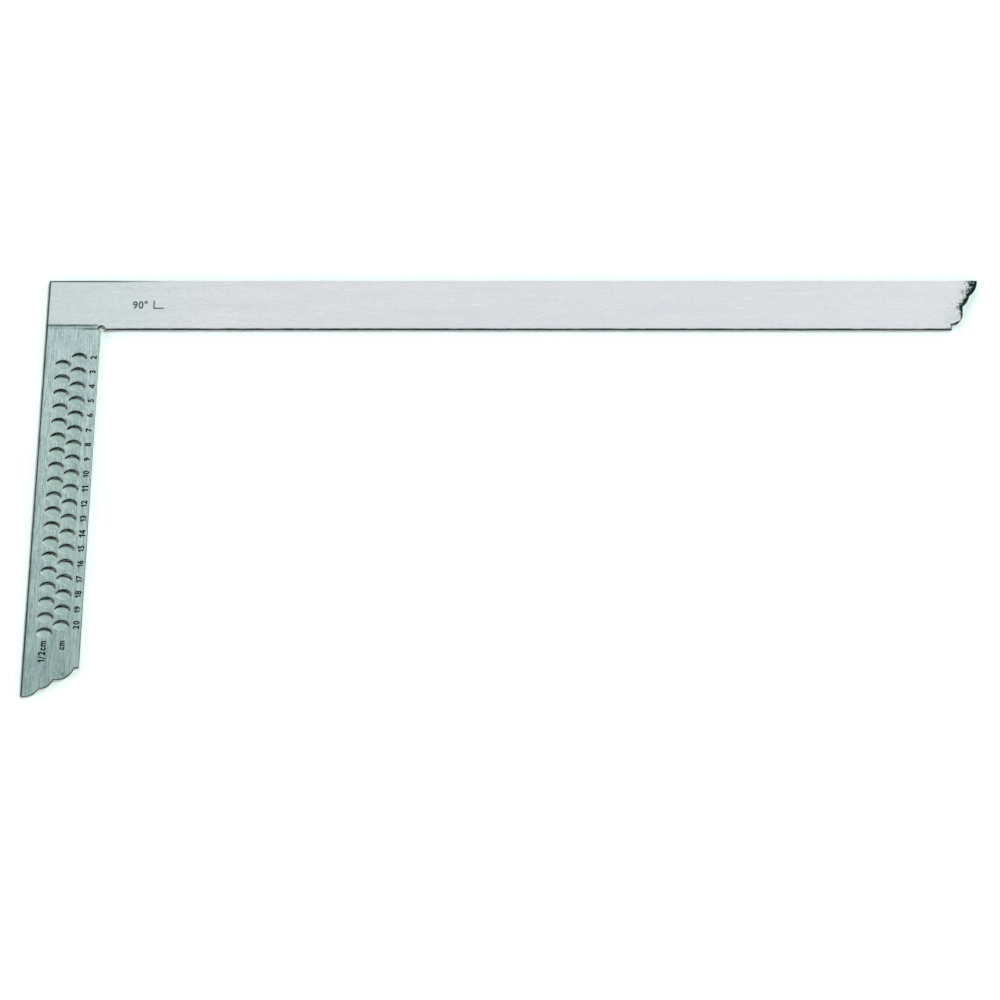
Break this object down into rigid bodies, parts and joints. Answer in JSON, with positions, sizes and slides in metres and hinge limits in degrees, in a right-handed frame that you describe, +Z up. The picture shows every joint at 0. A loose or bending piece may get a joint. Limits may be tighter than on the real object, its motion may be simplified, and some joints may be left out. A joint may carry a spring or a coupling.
{
  "type": "carpenter's marking square",
  "caption": "Flat steel L-square with a long blade and a short tongue, scalloped ends and two columns of oval holes for marking parallel lines.",
  "frame": {"origin": "middle of the square's box in plan, on the face that it lies on", "axes": "+X along the long blade from the heel to its tip, +Y from the tongue's tip to the blade, +Z up from the resting face to the numbered face"},
  "size_m": [0.6, 0.28, 0.0021],
  "materials": {
    "blade_steel": "brushed along the blade",
    "tongue_steel": "brushed along the tongue",
    "weld_steel": "ground flush",
    "black_enamel": "satin",
    "grey_etching": "matt"
  },
  "bodies": {
    "root": {"blade": "blade_steel", "tongue": "tongue_steel", "corner_weld": "weld_steel", "figure_2": "black_enamel", "figure_3": "black_enamel", "figure_4": "black_enamel", "figure_5": "black_enamel", "figure_6": "black_enamel", "figure_7": "black_enamel", "figure_8": "black_enamel", "figure_9": "black_enamel", "figure_10_tens": "black_enamel", "figure_10_units": "black_enamel", "figure_11_tens": "black_enamel", "figure_11_units": "black_enamel", "figure_12_tens": "black_enamel", "figure_12_units": "black_enamel", "figure_13_tens": "black_enamel", "figure_13_units": "black_enamel", "figure_14_tens": "black_enamel", "figure_14_units": "black_enamel", "figure_15_tens": "black_enamel", "figure_15_units": "black_enamel", "figure_16_tens": "black_enamel", "figure_16_units": "black_enamel", "figure_17_tens": "black_enamel", "figure_17_units": "black_enamel", "figure_18_tens": "black_enamel", "figure_18_units": "black_enamel", "figure_19_tens": "black_enamel", "figure_19_units": "black_enamel", "figure_20_tens": "black_enamel", "figure_20_units": "black_enamel", "unit_cm_c": "black_enamel", "unit_cm_m": "black_enamel", "half_cm_one": "black_enamel", "half_cm_stroke": "black_enamel", "half_cm_two": "black_enamel", "half_cm_c": "black_enamel", "half_cm_m": "black_enamel", "mark_nine": "grey_etching", "mark_zero": "grey_etching", "mark_degree": "grey_etching", "mark_bracket": "grey_etching"}
  },
  "joints": []
}
